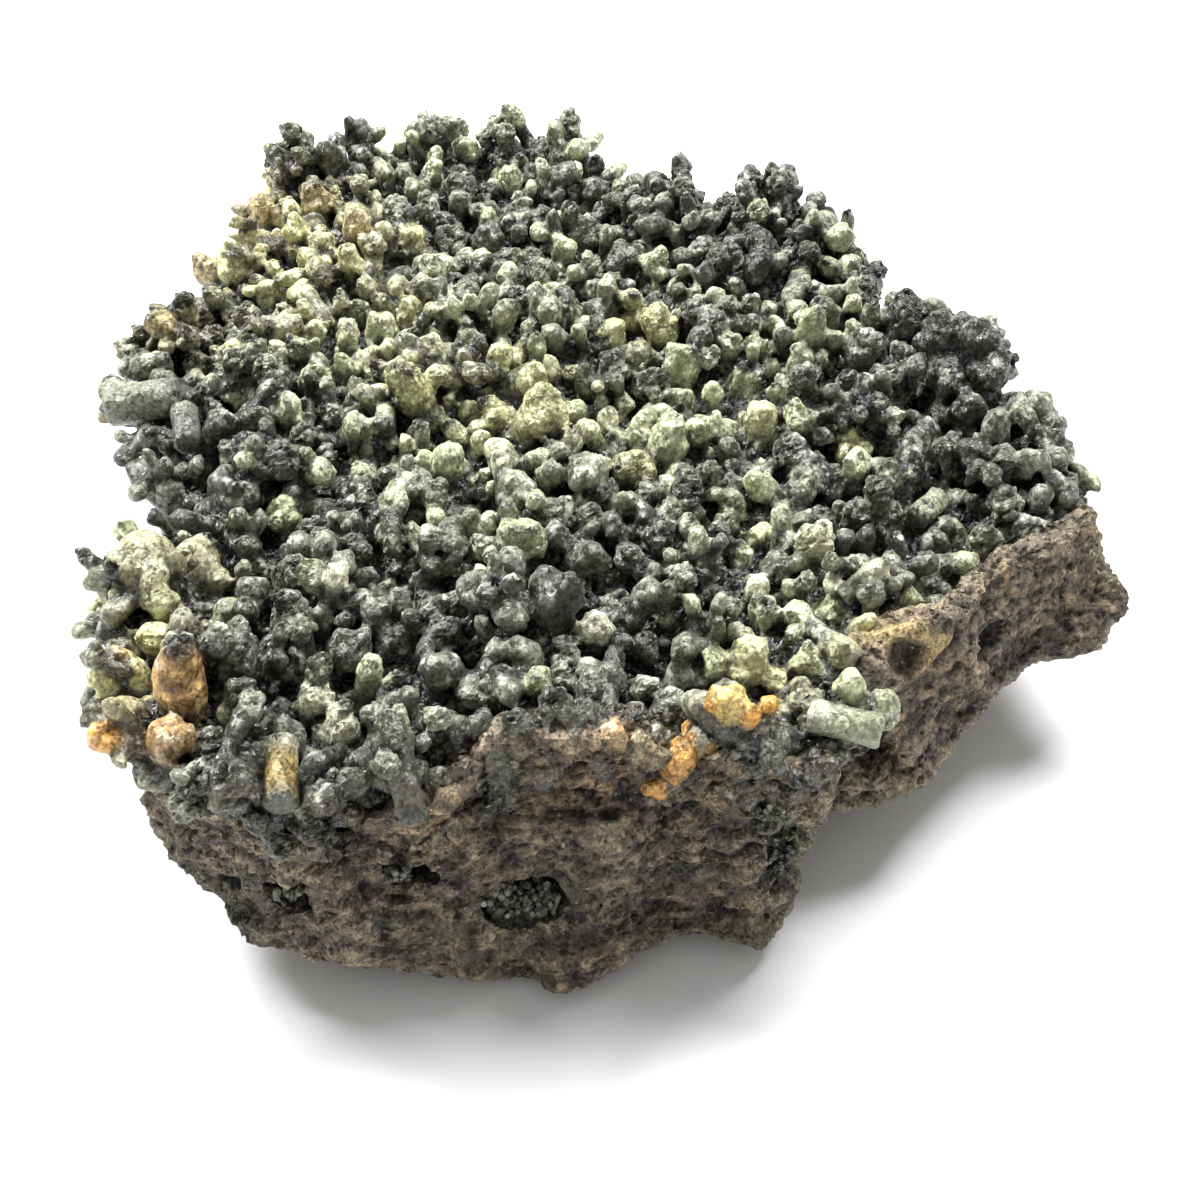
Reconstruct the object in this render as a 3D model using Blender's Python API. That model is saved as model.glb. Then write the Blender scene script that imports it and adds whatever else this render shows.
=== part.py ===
"""A cabinet specimen of prehnite: a druse of stubby crystal fingers on a broken slab of rock.

Two pieces make it up. The matrix is the grey-brown host rock, with a flat break
that it rests on. The prehnite druse is the crust of fused, knobby fingers that
grew over the top of the matrix. Metres, +Z up, origin under the middle of the
bounding box, on the surface that the specimen rests on. -Y is the broken front.
"""

import math
import random
from typing import NamedTuple

import bmesh
import bpy
import numpy as np
from mathutils import Matrix, Vector, noise

MM = 0.001

# Driving dimensions, in millimetres.
TOP_HEIGHT = 33.0  # usual height of the ground that the druse grew on
GROUND_WAVE = 1.2  # height of the gentle waves in that ground
CRUST_THICKNESS = 3.4  # solid prehnite below the lumps
SEAM = 0.3  # gap kept between the matrix and the druse
EDGE_TRIM = 3.0  # the rock is trimmed this far outside a druse that overhangs
LUMP_WIDTH = 9.4  # usual distance between the lumps that cover the druse
LUMP_JITTER = 2.2  # how far the corners between the lumps are moved at random
LUMP_SLOPE = (1.3, 2.0)  # width of a lump's sloping sides
LUMP_RISE = (2.8, 9.5)  # height of a lump above the crust
LUMP_BIAS = 1.7  # above 1, more of the lumps are low ones
LUMP_TILT = 0.35  # steepest slope of a lump's top
EDGE_FINGER_STEP = 11.5  # least distance between the fingers along an open edge
EDGE_FINGER_RADIUS = (3.1, 4.7)
EDGE_FINGER_LENGTH = (6.0, 9.0)
EDGE_FINGER_LEAN = (20.0, 60.0)  # lean outwards of those, in degrees
EDGE_FINGER_PLACE = 0.96  # share of the way from the middle to the edge where they stand
ROOT_DEPTH = 1.8  # how far a finger is rooted in the crust
HEAD_SHARE = 0.28  # share of a finger's length that its bevelled head takes
HEAD_TAPER = 0.55
WAIST = 0.78  # width of a finger at its root, as a share of its width at the head
ROCK_ROUGHNESS = 2.8  # height of the lumps on the broken rock
EDGE_ROUGHNESS = 1.5  # how far the points of the druse's outline are moved
AROUND_MATRIX = 74  # points round the matrix
AROUND_DRUSE = 60
LID_HEIGHT = 60.0  # top of what is cut away above the ground of the druse
BLOCK_FLOOR = 20.0  # underside of the lumpy block before it is trimmed
MIDDLE = np.array([-8.0, -8.0])  # where the rings close, inside the flat base
BOX_MIDDLE = Vector((1.4, 2.1, 0.0))  # middle of the finished specimen, in the layout
SEED = 11  # of the random sizes and leans
NOISE_SEED = 6  # of the broken-rock noise

# Stations round the specimen, anticlockwise from the front left corner:
# the rim (x, y, z), the widest line below it (x, y, z), the share of the way
# from the middle to that line where the underside meets the table, and how far
# inside the rim the druse stops. A negative lip is a druse that overhangs.
STATIONS = (
    (-61, -76, 37, -65, -71, 20, 0.62, -0.8),
    (-55, -81, 37, -60, -77, 15, 0.70, -0.8),
    (-46, -84, 37, -52, -83, 12, 0.76, -0.5),
    (-36, -85, 36, -43, -88, 8, 0.84, 1.0),
    (-26, -84, 37, -33, -86, 7, 0.92, 3.0),
    (-17, -80, 38, -22, -88, 5, 0.94, 4.5),
    (-13, -75, 40, -12, -88, 4, 0.94, 4.5),
    (-5, -74, 41, -4, -87, 4, 0.93, 6.0),
    (4, -75, 40, 4, -86, 4, 0.92, 5.5),
    (12, -74, 38, 11, -81, 4, 0.92, 3.5),
    (20, -76, 36, 19, -82, 4, 0.90, 3.0),
    (28, -77, 34, 28, -82, 5, 0.88, 3.5),
    (34, -72, 35, 28, -70, 10, 0.80, 4.0),
    (38, -60, 38, 32, -65, 15, 0.66, 5.0),
    (43, -55, 40, 43, -65, 15, 0.56, 6.0),
    (50, -53, 40, 51, -61, 16, 0.50, 6.0),
    (56, -48, 40, 57, -53, 17, 0.47, 6.0),
    (61, -40, 40, 63, -45, 19, 0.45, 6.0),
    (67, -35, 39, 74, -39, 20, 0.43, 5.5),
    (75, -30, 38, 82, -32, 22, 0.42, 3.0),
    (76, -20, 37, 81, -22, 23, 0.43, 0.0),
    (73, -10, 36, 74, -10, 20, 0.48, -0.8),
    (68, -6, 36, 66, -4, 18, 0.55, -0.8),
    (68, 6, 36, 65, 6, 18, 0.56, -0.8),
    (62, 16, 36, 60, 16, 18, 0.58, -0.8),
    (55, 20, 36, 53, 20, 18, 0.60, -0.8),
    (48, 22, 36, 47, 24, 18, 0.66, -0.8),
    (48, 32, 36, 45, 33, 18, 0.66, -0.8),
    (47, 48, 36, 44, 47, 18, 0.66, -0.8),
    (36, 61, 35, 33, 59, 17, 0.70, -0.8),
    (27, 64, 35, 25, 62, 17, 0.72, -0.8),
    (18, 60, 35, 16, 60, 17, 0.78, -0.8),
    (9, 65, 35, 8, 64, 17, 0.78, -0.8),
    (0, 75, 35, -2, 73, 16, 0.76, -0.8),
    (-8, 88, 34, -9, 84, 16, 0.74, -0.8),
    (-24, 89, 34, -24, 85, 16, 0.76, -0.8),
    (-38, 89, 34, -37, 85, 16, 0.76, -0.8),
    (-51, 84, 34, -48, 80, 17, 0.74, -0.8),
    (-65, 79, 34, -61, 75, 18, 0.70, -0.8),
    (-61, 60, 35, -59, 58, 18, 0.72, -0.8),
    (-65, 43, 35, -62, 42, 18, 0.72, -0.8),
    (-69, 29, 36, -65, 28, 19, 0.70, -0.8),
    (-76, 18, 36, -70, 18, 20, 0.66, -0.8),
    (-78, 7, 36, -71, 7, 21, 0.64, -0.8),
    (-75, -5, 36, -70, -5, 22, 0.62, -0.8),
    (-63, -14, 36, -62, -13, 20, 0.66, -0.8),
    (-65, -25, 36, -64, -25, 19, 0.66, -0.8),
    (-68, -37, 36, -66, -37, 18, 0.66, -0.8),
    (-71, -46, 36, -67, -46, 18, 0.64, -0.8),
    (-66, -57, 37, -64, -57, 18, 0.62, -0.8),
    (-64, -67, 37, -64, -65, 18, 0.61, -0.8),
)

# Broad swells and hollows of the ground below the druse: x, y, radius, height.
SWELLS = (
    (-12, 2, 34, 3.0),
    (-48, -30, 24, 1.6),
    (52, -30, 20, -3.0),
    (6, -56, 15, -2.5),
    (-30, -62, 18, -1.5),
    (-54, -82, 15, 4.0),
    (62, 2, 18, 2.5),
    (-25, 60, 30, -1.0),
    (30, 42, 16, 2.0),
)

# Cavities in the broken rock: centre x, y, z and half sizes along x, y, z.
CAVITIES = (
    (-10, -83, 15, 7.0, 7.0, 4.2),
    (-42, -85, 19, 4.2, 6.0, 3.0),
    (-25, -85, 22, 4.6, 6.0, 2.6),
    (26, -79, 19, 4.6, 6.5, 9.5),
    (41, -64, 22, 3.8, 6.0, 3.4),
    (60, -47, 29, 5.0, 6.0, 2.8),
)


class Finger(NamedTuple):
    """A crystal finger: its foot, its half width and length, and its lean in degrees."""

    x: float
    y: float
    radius: float
    length: float
    lean_x: float
    lean_y: float


# Fingers and clusters that give the outline its look.
LANDMARKS = (
    Finger(-69, 3, 5.4, 12.0, -62, -8),
    Finger(-61, -47, 5.4, 10.0, -24, -4),
    Finger(-51, -63, 6.2, 13.0, -14, -18),
    Finger(-57, -74, 4.2, 8.0, -34, -12),
    Finger(-40, -77, 4.2, 9.0, -4, -34),
    Finger(-12, -50, 6.8, 13.0, 6, -14),
    Finger(59, 4, 6.8, 11.0, 14, 10),
    Finger(66, -16, 5.6, 9.0, 14, 4),
    Finger(40, 40, 5.6, 10.0, 10, 12),
    Finger(31, 55, 5.8, 11.0, 8, 14),
    Finger(-7, 78, 5.6, 10.0, 6, 10),
    Finger(-58, 72, 5.6, 11.0, -14, 10),
    Finger(-32, 79, 5.6, 11.0, -4, 10),
    Finger(-69, 14, 5.2, 10.0, -26, 4),
    Finger(-49, -79, 4.4, 8.0, -10, -30),
    Finger(20, -69, 4.6, 8.0, 4, -26),
    Finger(31, -64, 4.2, 9.0, 40, -20),
)

MATRIX_COLOUR = (0.105, 0.088, 0.068, 1.0)
DRUSE_COLOUR = (0.24, 0.26, 0.21, 1.0)


def clear_scene():
    for obj in list(bpy.data.objects):
        bpy.data.objects.remove(obj)


def closed_curve(points, count):
    """Points at equal steps along a smooth closed curve through the given ones."""
    knots = np.array(points, float)
    before, after = np.roll(knots, 1, axis=0), np.roll(knots, -1, axis=0)
    beyond = np.roll(knots, -2, axis=0)
    fine = []
    for t in np.linspace(0, 1, 16, endpoint=False):
        linear = 2 * knots + (after - before) * t
        square = (2 * before - 5 * knots + 4 * after - beyond) * t**2
        cube = (3 * knots - before - 3 * after + beyond) * t**3
        fine.append(0.5 * (linear + square + cube))
    fine = np.stack(fine, axis=1).reshape(-1, knots.shape[1])
    fine = np.vstack([fine, fine[:1]])
    steps = np.linalg.norm(np.diff(fine[:, :2], axis=0), axis=1)
    walked = np.concatenate([[0], np.cumsum(steps)])
    at = np.linspace(0, walked[-1], count, endpoint=False)
    return np.stack([np.interp(at, walked, column) for column in fine.T], axis=1)


def ground_height(x, y):
    """Height of the rock under the druse."""
    height = TOP_HEIGHT
    for swell_x, swell_y, radius, swell in SWELLS:
        height += swell * math.exp(-((x - swell_x) ** 2 + (y - swell_y) ** 2) / radius**2)
    return height + GROUND_WAVE * noise.noise(Vector((x / 23, y / 23, 4.0)))


def outline_inside(rim, distance):
    """The rim outline moved towards its inside by a distance at each of its points."""
    along = np.roll(rim[:, :2], -1, axis=0) - np.roll(rim[:, :2], 1, axis=0)
    inward = np.stack([-along[:, 1], along[:, 0]], axis=1)
    inward /= np.linalg.norm(inward, axis=1)[:, None]
    return rim[:, :2] + inward * distance[:, None]


def ragged(outline):
    """The outline with its points moved at random, as the edge of a druse is."""
    shifts = [noise.cell_vector(Vector((x, y, 3))) - Vector((0.5, 0.5, 0.5)) for x, y in outline]
    return outline + 2 * EDGE_ROUGHNESS * np.array(shifts)[:, :2]


def mesh_from(name, bm):
    """A mesh in metres, about the specimen's middle, from a layout in millimetres."""
    bmesh.ops.triangulate(bm, faces=bm.faces[:], quad_method="SHORT_EDGE")
    bmesh.ops.recalc_face_normals(bm, faces=bm.faces[:])
    mesh = bpy.data.meshes.new(name)
    bm.to_mesh(mesh)
    bm.free()
    mesh.transform(Matrix.Scale(MM, 4) @ Matrix.Translation(-BOX_MIDDLE))
    return mesh


def mesh_of_rings(name, rings, low_tip, high_tip):
    """A closed skin over rings of equal size, from a low tip up to a high tip."""
    count = len(rings[0])
    bm = bmesh.new()
    bottom = bm.verts.new(low_tip)
    loops = [[bm.verts.new(p) for p in ring] for ring in rings]
    top = bm.verts.new(high_tip)
    for i in range(count):
        j = (i + 1) % count
        bm.faces.new((bottom, loops[0][j], loops[0][i]))
        for lower, upper in zip(loops, loops[1:]):
            bm.faces.new((lower[i], lower[j], upper[j], upper[i]))
        bm.faces.new((loops[-1][i], loops[-1][j], top))
    return mesh_from(name, bm)


def add_object(name, mesh, collection):
    obj = bpy.data.objects.new(name, mesh)
    collection.objects.link(obj)
    return obj


def add_helper(name, mesh, collection):
    """A shape that only cuts or joins another one."""
    obj = add_object(name, mesh, collection)
    obj.hide_render = True
    obj.display_type = "WIRE"
    return obj


def roughen(point, strength, scale=13.0):
    """A point moved by broken-rock noise: broad lumps with finer chips on them."""
    p = Vector(point)
    broad = noise.noise_vector(p / scale)
    chips = noise.cell_vector(p / (0.5 * scale)) - Vector((0.5, 0.5, 0.5))
    return p + strength * (broad + chips)


def rough_ring(ring, strength, floor=0.8):
    """A ring of rough points, none of them below the floor height."""
    moved = [roughen(p, strength) for p in ring]
    return [Vector((p.x, p.y, max(p.z, floor))) for p in moved]


def matrix_blank(collection, stations):
    """The whole rock: a flat base, a bulging side, the rim and a plain top."""
    rim, belly, foot_share = stations[:, 0:3], stations[:, 3:6], stations[:, 6:7]
    foot_xy = MIDDLE + (belly[:, :2] - MIDDLE) * foot_share
    rings = [np.column_stack([foot_xy, np.zeros(len(rim))])]
    for share, rise in ((0.45, 0.28), (0.8, 0.6)):
        under = rings[0] * (1 - share) + belly * share
        under[:, 2] = belly[:, 2] * rise
        rings.append(rough_ring(under, 0.8 * ROCK_ROUGHNESS))
    for share in (0.0, 0.2, 0.4, 0.6, 0.8):
        rings.append(rough_ring(belly * (1 - share) + rim * share, ROCK_ROUGHNESS))
    rings.append(rough_ring(rim, 0.5 * ROCK_ROUGHNESS))
    inner = rim.copy()
    inner[:, :2] = MIDDLE + (rim[:, :2] - MIDDLE) * 0.86
    rings.append(inner)
    mesh = mesh_of_rings("matrix", rings, (*MIDDLE, 0), (*MIDDLE, TOP_HEIGHT + 5))
    return add_object("matrix", mesh, collection)


def growth_space(collection, name, outline, gap, margins):
    """The space over the ground inside an outline, with a gap below and margins round it."""
    rings = []
    for share in (0.34, 0.67, 1.0):
        ring = MIDDLE + (outline - MIDDLE) * share
        rings.append([(x, y, ground_height(x, y) - gap) for x, y in ring])
    for margin in margins:
        wider = outline_inside(outline, -margin)
        rings.append([(x, y, z) for (x, y), (_, _, z) in zip(wider, rings[-1])])
    rings.append([(x, y, LID_HEIGHT) for x, y, _ in rings[-1]])
    low_tip = (*MIDDLE, ground_height(*MIDDLE) - gap)
    mesh = mesh_of_rings(name, rings, low_tip, (*MIDDLE, LID_HEIGHT))
    return add_helper(name, mesh, collection)


def cavity_cutter(collection):
    """The cavities that weathered out of the broken rock."""
    bm = bmesh.new()
    for x, y, z, half_x, half_y, half_z in CAVITIES:
        place = Matrix.Translation((x, y, z)) @ Matrix.Diagonal((half_x, half_y, half_z, 1))
        bmesh.ops.create_icosphere(bm, subdivisions=1, radius=1.0, matrix=place)
    return add_helper("cavities", mesh_from("cavities", bm), collection)


def inside_outline(outline, x, y):
    """How far a point is inside the outline, and which way is straight out."""
    ends = np.roll(outline, -1, axis=0)
    along = ends - outline
    point = np.array([x, y])
    share = np.clip(((point - outline) * along).sum(1) / (along**2).sum(1), 0, 1)
    gaps = outline + along * share[:, None] - point
    nearest = gaps[np.argmin((gaps**2).sum(1))]
    distance = max(float(np.hypot(*nearest)), 1e-6)
    crosses = (outline[:, 1] > y) != (ends[:, 1] > y)
    slope = along[:, 0] / np.where(along[:, 1] == 0, 1e-9, along[:, 1])
    inside = np.count_nonzero(crosses & (outline[:, 0] + (y - outline[:, 1]) * slope > x)) % 2
    side = 1 if inside else -1
    return side * distance, side * nearest / distance


def lump_corner(bm, corners, x, y):
    """A shared corner between lumps, moved a little from its regular place."""
    key = (round(x, 2), round(y, 2))
    if key not in corners:
        moved = Vector((x, y, 0)) + LUMP_JITTER * noise.noise_vector(Vector((0.9 * x, 0.9 * y, 7)))
        height = ground_height(x, y) + CRUST_THICKNESS + 0.5 * moved.z
        corners[key] = bm.verts.new((moved.x, moved.y, height))
    return corners[key]


def honeycomb(bm, outline):
    """Cells with six corners that cover the outline and a margin all round it."""
    low, high = outline.min(0) - 2 * LUMP_WIDTH, outline.max(0) + 2 * LUMP_WIDTH
    row_step = LUMP_WIDTH * math.sqrt(3) / 2
    radius = LUMP_WIDTH / math.sqrt(3)
    corners = {}
    for row in range(math.ceil((high[1] - low[1]) / row_step)):
        for column in range(math.ceil((high[0] - low[0]) / LUMP_WIDTH)):
            x = low[0] + (column + 0.5 * (row % 2)) * LUMP_WIDTH
            y = low[1] + row * row_step
            if inside_outline(outline, x, y)[0] < -LUMP_WIDTH:
                continue
            turns = [math.radians(60 * k + 30) for k in range(6)]
            ring = [(x + radius * math.cos(t), y + radius * math.sin(t)) for t in turns]
            bm.faces.new([lump_corner(bm, corners, *p) for p in ring])


def lumpy_block(collection, outline):
    """A block with a top of packed, angular lumps, wider than the druse all round."""
    rng = random.Random(SEED)
    bm = bmesh.new()
    honeycomb(bm, outline)
    cells = bm.faces[:]
    walls = bmesh.ops.extrude_edge_only(bm, edges=[e for e in bm.edges if e.is_boundary])
    foot = [v for v in walls["geom"] if isinstance(v, bmesh.types.BMVert)]
    for v in foot:
        v.co.z = BLOCK_FLOOR
    bmesh.ops.edgeloop_fill(bm, edges=[e for e in bm.edges if e.is_boundary])
    for cell in cells:
        slope = rng.uniform(*LUMP_SLOPE)
        rise = LUMP_RISE[0] + (LUMP_RISE[1] - LUMP_RISE[0]) * rng.random() ** LUMP_BIAS
        bmesh.ops.inset_individual(bm, faces=[cell], thickness=slope, use_even_offset=True)
        tilt = Vector((rng.uniform(-1, 1), rng.uniform(-1, 1), 0)) * LUMP_TILT
        centre = cell.calc_center_median()
        for v in cell.verts:
            v.co.z = centre.z + rise + tilt.dot(v.co - centre)
    return add_object("prehnite_druse", mesh_from("prehnite_druse", bm), collection)


def edge_fingers(outline, lips):
    """A row of fingers that leans outwards along every open edge of the druse."""
    rng = random.Random(SEED)
    placed = []
    for at in np.flatnonzero(lips < 0):
        x, y = MIDDLE + (outline[at] - MIDDLE) * EDGE_FINGER_PLACE
        way_out = inside_outline(outline, x, y)[1]
        radius = rng.uniform(*EDGE_FINGER_RADIUS)
        length = rng.uniform(*EDGE_FINGER_LENGTH)
        lean_x, lean_y = way_out * rng.uniform(*EDGE_FINGER_LEAN)
        nearest = min(math.hypot(x - f.x, y - f.y) for f in [*LANDMARKS, *placed])
        if nearest > EDGE_FINGER_STEP:
            placed.append(Finger(x, y, radius, length, lean_x, lean_y))
    return placed


def add_column(bm, finger, sides, turn):
    """One stubby crystal: a column that swells upwards to a bevelled head."""
    made = bmesh.ops.create_cone(
        bm,
        cap_ends=True,
        segments=sides,
        radius1=WAIST * finger.radius,
        radius2=finger.radius,
        depth=1.0,
    )
    verts = made["verts"]
    for v in verts:
        v.co.z = (v.co.z + 0.5) * (finger.length * (1 - HEAD_SHARE) + ROOT_DEPTH)
    faces = {f for v in verts for f in v.link_faces}
    top = max(faces, key=lambda f: f.calc_center_median().z)
    raised = bmesh.ops.extrude_discrete_faces(bm, faces=[top])["faces"]
    crown = [v for f in raised for v in f.verts]
    bmesh.ops.scale(bm, vec=(HEAD_TAPER, HEAD_TAPER, 1.0), verts=crown)
    bmesh.ops.translate(bm, vec=(0, 0, HEAD_SHARE * finger.length), verts=crown)
    lean = Matrix.Rotation(math.radians(finger.lean_x), 4, "Y")
    lean = lean @ Matrix.Rotation(math.radians(-finger.lean_y), 4, "X")
    foot = ground_height(finger.x, finger.y) + CRUST_THICKNESS - ROOT_DEPTH
    place = Matrix.Translation((finger.x, finger.y, foot)) @ lean @ Matrix.Rotation(turn, 4, "Z")
    bmesh.ops.transform(bm, matrix=place, verts=verts + crown)


def columns(collection, name, fingers, grown=0.0):
    """The fingers as separate columns, each grown by a margin."""
    rng = random.Random(SEED)
    bm = bmesh.new()
    for finger in fingers:
        bigger = finger._replace(radius=finger.radius + grown, length=finger.length + grown)
        add_column(bm, bigger, rng.choice((5, 6)), rng.uniform(0, 2))
    return add_helper(name, mesh_from(name, bm), collection)


def add_boolean(obj, other, operation):
    modifier = obj.modifiers.new(other.name, "BOOLEAN")
    modifier.operation = operation
    modifier.object = other
    modifier.solver = "EXACT"
    modifier.use_self = operation != "INTERSECT"


def principled(name, colour, roughness):
    material = bpy.data.materials.new(name)
    material.use_nodes = True
    shader = material.node_tree.nodes["Principled BSDF"]
    shader.inputs["Base Color"].default_value = colour
    shader.inputs["Roughness"].default_value = roughness
    shader.inputs["Metallic"].default_value = 0.0
    return material


def build():
    clear_scene()
    noise.seed_set(NOISE_SEED)
    specimen = bpy.data.collections.new("prehnite_specimen")
    helpers = bpy.data.collections.new("cutters")
    for collection in (specimen, helpers):
        bpy.context.scene.collection.children.link(collection)

    around = closed_curve(STATIONS, AROUND_DRUSE)
    lips = around[:, 7]
    druse_edge = ragged(outline_inside(around, lips))
    open_share = np.clip((0.5 - lips) / 1.3, 0, 1)
    pocket_margins = [SEAM + EDGE_TRIM * open_share]
    fingers = [*LANDMARKS, *edge_fingers(druse_edge, lips)]

    druse = lumpy_block(specimen, druse_edge)
    add_boolean(druse, growth_space(helpers, "druse_space", druse_edge, 0.0, []), "INTERSECT")
    add_boolean(druse, columns(helpers, "fingers", fingers), "UNION")
    matrix = matrix_blank(specimen, closed_curve(STATIONS, AROUND_MATRIX))
    pocket = growth_space(helpers, "pocket", druse_edge, SEAM, pocket_margins)
    add_boolean(matrix, pocket, "DIFFERENCE")
    add_boolean(matrix, columns(helpers, "sockets", fingers, SEAM), "DIFFERENCE")
    add_boolean(matrix, cavity_cutter(helpers), "DIFFERENCE")
    matrix.data.materials.append(principled("host_rock", MATRIX_COLOUR, 0.9))
    druse.data.materials.append(principled("prehnite", DRUSE_COLOUR, 0.45))


build()
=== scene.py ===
import math

import bmesh
import bpy
import numpy as np
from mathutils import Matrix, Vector
from mathutils.bvhtree import BVHTree
from mathutils.kdtree import KDTree


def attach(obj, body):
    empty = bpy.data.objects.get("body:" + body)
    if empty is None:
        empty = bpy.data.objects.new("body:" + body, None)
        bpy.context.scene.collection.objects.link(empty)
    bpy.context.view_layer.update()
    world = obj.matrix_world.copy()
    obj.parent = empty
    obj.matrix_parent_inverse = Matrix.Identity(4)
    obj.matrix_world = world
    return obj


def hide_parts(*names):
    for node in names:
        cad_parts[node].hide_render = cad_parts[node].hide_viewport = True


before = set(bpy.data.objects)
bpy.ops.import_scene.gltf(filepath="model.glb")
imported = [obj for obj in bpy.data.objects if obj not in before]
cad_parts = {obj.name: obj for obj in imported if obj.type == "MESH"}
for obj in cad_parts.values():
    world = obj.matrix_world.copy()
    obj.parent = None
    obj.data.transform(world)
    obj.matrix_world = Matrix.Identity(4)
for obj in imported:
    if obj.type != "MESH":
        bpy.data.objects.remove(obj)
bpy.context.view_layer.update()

MM = 0.001
SEED = 5

# The camera, in millimetres and degrees. The photograph is square, SIDE pixels wide.
SIDE = 1200
CAMERA_AT = np.array([-1.0, -215.8, 199.8])
CAMERA_DOWN = 44.0
CAMERA_FIELD = 41.0
MISSED_DEPTHS = range(230, 380, 2)  # where a ray that misses looks for the nearest solid

# Sizes in millimetres.
CORE_VOXEL = 1.3
SKIN_VOXEL = 0.56
ROCK_VOXEL = 0.78
LUMP_KEPT = 0.45  # share of a lump's height that the ground between the knobs keeps
CORE_SUNK = 1.5
MAP_HALF, MAP_STEP = 90, 5.0  # the map of the crust's height
MAP_END = 34.99  # how many steps of it are read
DRUSE_GRAIN, DRUSE_SUGAR = 1.35, 0.45
BOWL_SHIELD = 6.5  # room kept free of knobs in front of the rock's bowl
ROCK_CHIP, ROCK_GRAIN, ROCK_PIT, ROCK_SMALL_PIT = 3.0, 1.5, 5.0, 2.6

# Knobs at random: half widths from and to, their number, and how near they may stand
# to others (1 is touching).
BIG = (2.0, 3.1, 560, 0.90)
MIDDLE = (1.25, 2.0, 750, 0.88)
SMALL = (0.75, 1.2, 1000, 0.88)
PLACES_TRIED, RIM_PLACES_TRIED = 26000, 9000
SPOT_STEP = 7.0  # side of a cell of the grid of taken places
RIM_FROM = 27  # lowest knob on the rock's upper edge
WING_FROM = 32  # x from which that edge is almost bare
RIM_GAP, WING_GAP = 5.5, 1.6  # how far from the druse rim knobs stand
RIM_CLOSENESS = 0.72

# Kinds of heads: how grainy the named ones and the others are, and how common they are
# on pale and on grey ground.
NAMED_ROUGH = {"smooth": 0.12, "faceted": 0.28, "lobed": 0.5, "crumbly": 1.0}
ROUGH = {"smooth": 0.15, "faceted": 0.35, "lobed": 0.6, "crumbly": 1.15}
PALE_ODDS = {"faceted": 0.40, "lobed": 0.34, "smooth": 0.18, "crumbly": 0.08}
GREY_ODDS = {"faceted": 0.24, "lobed": 0.20, "smooth": 0.24, "crumbly": 0.32}
HEADS_IN_STOCK = 30
FINE_HEAD = 1.25  # half width from which a head has the finer mesh

# What a row of knobs holds: place, way it points, half width, the colours of head and
# foot, and how grainy it is.
AT, WAY, WIDE, HEAD, FOOT, GRAINY = slice(0, 3), slice(3, 6), 6, slice(7, 10), slice(10, 13), 13

# The small crystals in the rock's hollows.
CRYSTAL_WIDE, CRYSTAL_LONG = (0.30, 0.60), (1.2, 3.0)

# Materials: scales to a metre, the specks of painted glint, and the two looks.
GRAIN_SCALE, MOTTLE_SCALE, GLINT_SPECK_SCALE, BUMP_SCALE = 850.0, 2000.0, 2600.0, 3000.0
FINE_FACETS = (2.6, 0.8)  # scale and strength of the finer facets, to the broad ones
# The colour of the pale specks: painted glints of tiny crystal faces.
GLINT_SPECK = (0.42, 0.43, 0.38, 1)
REFRACTION = 1.62
CRYSTAL_LOOK = dict(
    facet=0.90, glint_speckle=0.13, roughness=(0.22, 0.62), bump_height=0.00014, mottling=0.38, cracks=0.30
)
STONE_LOOK = dict(
    facet=1.4, glint_speckle=0.14, roughness=(0.55, 1.0), bump_height=0.00025, mottling=0.50, cracks=0.20
)

# Stage, in metres and watts.
FLOOR_HALF, FLOOR_TONE = 4, 0.88
SKY, SKY_STRENGTH = (1.0, 0.99, 0.97, 1), 0.46
WINDOW_SIZE = 0.42
WINDOWS = (((-0.72, 0.50, 0.92), 27.0), ((0.42, 0.48, 1.00), 18.0))
SENSOR = 36.0

# Colours, linear.
# CREVICE_SHADE: the dark druse between the knobs together with painted shade in the gaps
CREVICE_SHADE = np.array([0.014, 0.014, 0.011])
STALK = np.array([0.060, 0.065, 0.053])
GREY = np.array([0.120, 0.128, 0.102])
PALE = np.array([0.34, 0.365, 0.24])
CREAM = np.array([0.43, 0.43, 0.31])
TAN = np.array([0.30, 0.255, 0.145])
# FROST_AND_GLINT: whitish frost on the grains' tops, which is also painted highlight
FROST_AND_GLINT = np.array([0.36, 0.37, 0.33])
RIM = np.array([0.094, 0.077, 0.050])
ROCK_DARK = np.array([0.040, 0.032, 0.022])
ROCK_LIGHT = np.array([0.215, 0.170, 0.112])
STAIN = np.array([0.30, 0.19, 0.065])

# Stains on the rock, as pixels of the photograph: x, y, radius, strength.
STAINS = (
    (430, 822, 42, 0.55), (330, 812, 40, 0.25), (560, 790, 50, 0.30),
    (620, 770, 40, 0.40), (905, 640, 34, 0.35), (960, 655, 22, 0.30),
    (893, 722, 11, 1.20), (1010, 575, 20, 1.00), (1085, 600, 30, 0.45),
    (1100, 520, 22, 0.60), (700, 790, 40, 0.25),
)
# Hollows of the rock that are lined with small crystals: pixel x, y, half width, half
# height and number of crystals.
ROCK_DRUSES = (
    (528, 900, 30, 18, 100), (500, 905, 16, 14, 40), (400, 872, 16, 8, 20),
    (290, 895, 16, 10, 14), (775, 835, 22, 40, 45),
)
# The bowl in the rock's upper edge: pixel x, y, and its half sizes in millimetres.
BOWL = (902, 655)
BOWL_SIZE = (8.4, 5.6, 4.5)
# Hollows of the rock, greenish and darker with painted shade, in the same way as the stains.
SHADED_ROCK_HOLLOWS = (
    (775, 830, 42, 0.75), (740, 800, 30, 0.50), (572, 880, 30, 0.90),
    (500, 905, 30, 0.50), (255, 935, 40, 0.35), (440, 940, 40, 0.45),
    (640, 880, 30, 0.30),
)

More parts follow.
